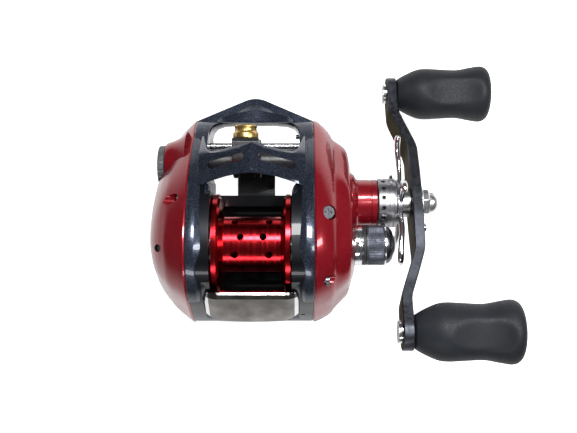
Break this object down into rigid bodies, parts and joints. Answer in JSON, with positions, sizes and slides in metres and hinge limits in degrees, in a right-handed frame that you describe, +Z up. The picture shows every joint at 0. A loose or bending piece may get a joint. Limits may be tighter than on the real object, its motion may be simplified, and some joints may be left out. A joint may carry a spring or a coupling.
{
  "type": "baitcasting fishing reel",
  "caption": "Low-profile baitcasting reel: red side plates on a dark frame, drilled spool, worm-driven line guide, star drag, thumb bar clutch and double-knob cranked handle.",
  "frame": {"origin": "underside of the reel foot, on the frame's centre plane, directly below the spool axis", "axes": "+X along the spool axis towards the handle, +Y towards the rod tip, +Z up away from the rod"},
  "size_m": [0.1069, 0.0911, 0.062],
  "materials": {
    "gunmetal": "metallic gloss with fine flake",
    "red_shell": "deep red metallic gloss",
    "red_anodised": "red anodised",
    "chrome": "mirror",
    "satin_metal": "satin",
    "steel": "brushed",
    "gear_brass": "machined",
    "guide_brass": "polished",
    "handle_grey": "dark satin",
    "black_rubber": "matte",
    "black_plastic": "matte",
    "carbon": "woven carbon",
    "dark_cap": "dark satin",
    "magnet": "nickel"
  },
  "bodies": {
    "frame_body": {"frame": "gunmetal", "level_wind_hood": "gunmetal", "reel_foot": "black_plastic", "foot_screws": "steel", "palm_side_plate": "red_shell", "gear_side_plate": "red_shell", "plate_screws": "chrome", "oil_port_plug": "black_rubber", "brake_plate": "black_plastic", "brake_plate_screws": "steel", "spool_bearings": "steel", "pinion_bearing": "steel", "shaft_bushes": "black_plastic", "roller_clutch": "steel", "drive_bearing": "steel", "yoke_springs": "steel", "post_clips": "steel", "worm_shield": "black_plastic", "guide_rod": "steel"},
    "crank": {"drive_shaft": "steel", "drive_gear": "gear_brass", "drag_washers": "carbon", "keyed_washers": "steel", "clutch_sleeve": "steel", "ratchet": "steel", "level_wind_driver": "black_plastic", "spring_washers": "steel", "handle_spacer": "steel", "handle_arm": "handle_grey", "handle_nut": "chrome", "nut_lock": "chrome", "knob_spindles": "steel", "knob_bushes": "black_plastic", "knob_screws": "steel"},
    "front_knob": {"knob_front": "black_rubber"},
    "rear_knob": {"knob_rear": "black_rubber"},
    "star": {"star_drag": "satin_metal"},
    "drag_nut": {"star_nut": "gear_brass"},
    "spool_body": {"spool": "red_anodised", "spool_shaft": "steel", "spool_pin": "steel", "brake_rotor": "satin_metal"},
    "worm": {"worm_shaft": "steel", "worm_cog": "black_plastic"},
    "carriage": {"line_guide_carriage": "black_plastic", "line_guide_ring": "guide_brass", "pawl_cap": "steel"},
    "guide_pawl": {"line_pawl": "gear_brass"},
    "thumb": {"thumb_bar": "chrome"},
    "cam": {"clutch_cam": "steel"},
    "yoke_body": {"yoke": "black_plastic"},
    "pinion": {"pinion_gear": "gear_brass"},
    "reverse_pawl": {"anti_reverse_pawl": "steel"},
    "cast_cap": {"cast_control_cap": "dark_cap", "cap_o_ring": "black_rubber"},
    "pad": {"tension_pad": "black_plastic"},
    "dial": {"brake_dial": "black_plastic"},
    "cam_ring": {"brake_cam_ring": "black_plastic"},
    "magnets": {"magnet_carrier": "black_plastic", "brake_magnets": "magnet"}
  },
  "joints": [
    {"name": "crank_turn", "type": "hinge", "parent": "frame_body", "child": "crank", "pos_m": [0.035, 0.01258, 0.0175], "axis": [1, 0, 0], "continuous": true},
    {"name": "spool_spin", "type": "hinge", "parent": "frame_body", "child": "spool_body", "pos_m": [0, 0, 0.0245], "axis": [1, 0, 0], "continuous": true},
    {"name": "worm_spin", "type": "hinge", "parent": "frame_body", "child": "worm", "pos_m": [0, 0.02552, 0.0127], "axis": [1, 0, 0], "continuous": true},
    {"name": "thumb_press", "type": "slide", "parent": "frame_body", "child": "thumb", "axis": [0, -0.53, -0.848], "range_m": [0, 0.004]},
    {"name": "cam_turn", "type": "hinge", "parent": "frame_body", "child": "cam", "pos_m": [0.0149, 0, 0.0245], "axis": [1, 0, 0], "range_deg": [0, 8.3]},
    {"name": "yoke_lift", "type": "slide", "parent": "frame_body", "child": "yoke_body", "axis": [1, 0, 0], "range_m": [0, 0.00131], "deforming": ["yoke_springs"]},
    {"name": "pinion_spin", "type": "hinge", "parent": "yoke_body", "child": "pinion", "pos_m": [0.018, 0, 0.0245], "axis": [1, 0, 0], "continuous": true},
    {"name": "star_turn", "type": "hinge", "parent": "crank", "child": "star", "pos_m": [0.04, 0.01258, 0.0175], "axis": [1, 0, 0], "range_deg": [0, 270]},
    {"name": "drag_nut_travel", "type": "slide", "parent": "star", "child": "drag_nut", "axis": [1, 0, 0], "range_m": [0, 0.00057]},
    {"name": "front_knob_spin", "type": "hinge", "parent": "crank", "child": "front_knob", "pos_m": [0.06, 0.04901, -0.00439], "axis": [1, 0, 0], "continuous": true},
    {"name": "rear_knob_spin", "type": "hinge", "parent": "crank", "child": "rear_knob", "pos_m": [0.06, -0.02385, 0.03939], "axis": [1, 0, 0], "continuous": true},
    {"name": "carriage_travel", "type": "slide", "parent": "frame_body", "child": "carriage", "axis": [1, 0, 0], "range_m": [-0.0062, 0.0108]},
    {"name": "guide_pawl_swing", "type": "hinge", "parent": "carriage", "child": "guide_pawl", "pos_m": [-0.0023, 0.02552, 0.009], "axis": [0, 0, 1], "range_deg": [-25, 25]},
    {"name": "reverse_pawl_swing", "type": "hinge", "parent": "frame_body", "child": "reverse_pawl", "pos_m": [0.015, 0.00826, 0.00938], "axis": [1, 0, 0], "range_deg": [-12, 0]},
    {"name": "cast_cap_turn", "type": "hinge", "parent": "frame_body", "child": "cast_cap", "pos_m": [0.036, 0, 0.0245], "axis": [1, 0, 0], "range_deg": [-180, 180]},
    {"name": "pad_travel", "type": "slide", "parent": "frame_body", "child": "pad", "axis": [1, 0, 0], "range_m": [-0.00038, 0.00038]},
    {"name": "dial_turn", "type": "hinge", "parent": "frame_body", "child": "dial", "pos_m": [-0.028, 0.024, 0.015], "axis": [1, 0, 0], "range_deg": [0, 100]},
    {"name": "cam_ring_turn", "type": "hinge", "parent": "frame_body", "child": "cam_ring", "pos_m": [-0.019, 0, 0.0245], "axis": [1, 0, 0], "range_deg": [-23, 0]},
    {"name": "magnet_travel", "type": "slide", "parent": "frame_body", "child": "magnets", "axis": [1, 0, 0], "range_m": [0, 0.0012]}
  ],
  "couplings": [
    {"joint": "spool_spin", "follows": "crank_turn", "ratio": -6.2727},
    {"joint": "worm_spin", "follows": "crank_turn", "ratio": -1.3},
    {"joint": "pinion_spin", "follows": "crank_turn", "ratio": -6.2727},
    {"joint": "cam_turn", "follows": "thumb_press", "rad_per_m": 35.779},
    {"joint": "yoke_lift", "follows": "thumb_press", "ratio": 0.325},
    {"joint": "drag_nut_travel", "follows": "star_turn", "m_per_rad": 0.00011937},
    {"joint": "pad_travel", "follows": "cast_cap_turn", "m_per_rad": 0.00011937},
    {"joint": "dial_turn", "follows": "magnet_travel", "rad_per_m": 1455.6},
    {"joint": "cam_ring_turn", "follows": "magnet_travel", "rad_per_m": -332.71}
  ]
}
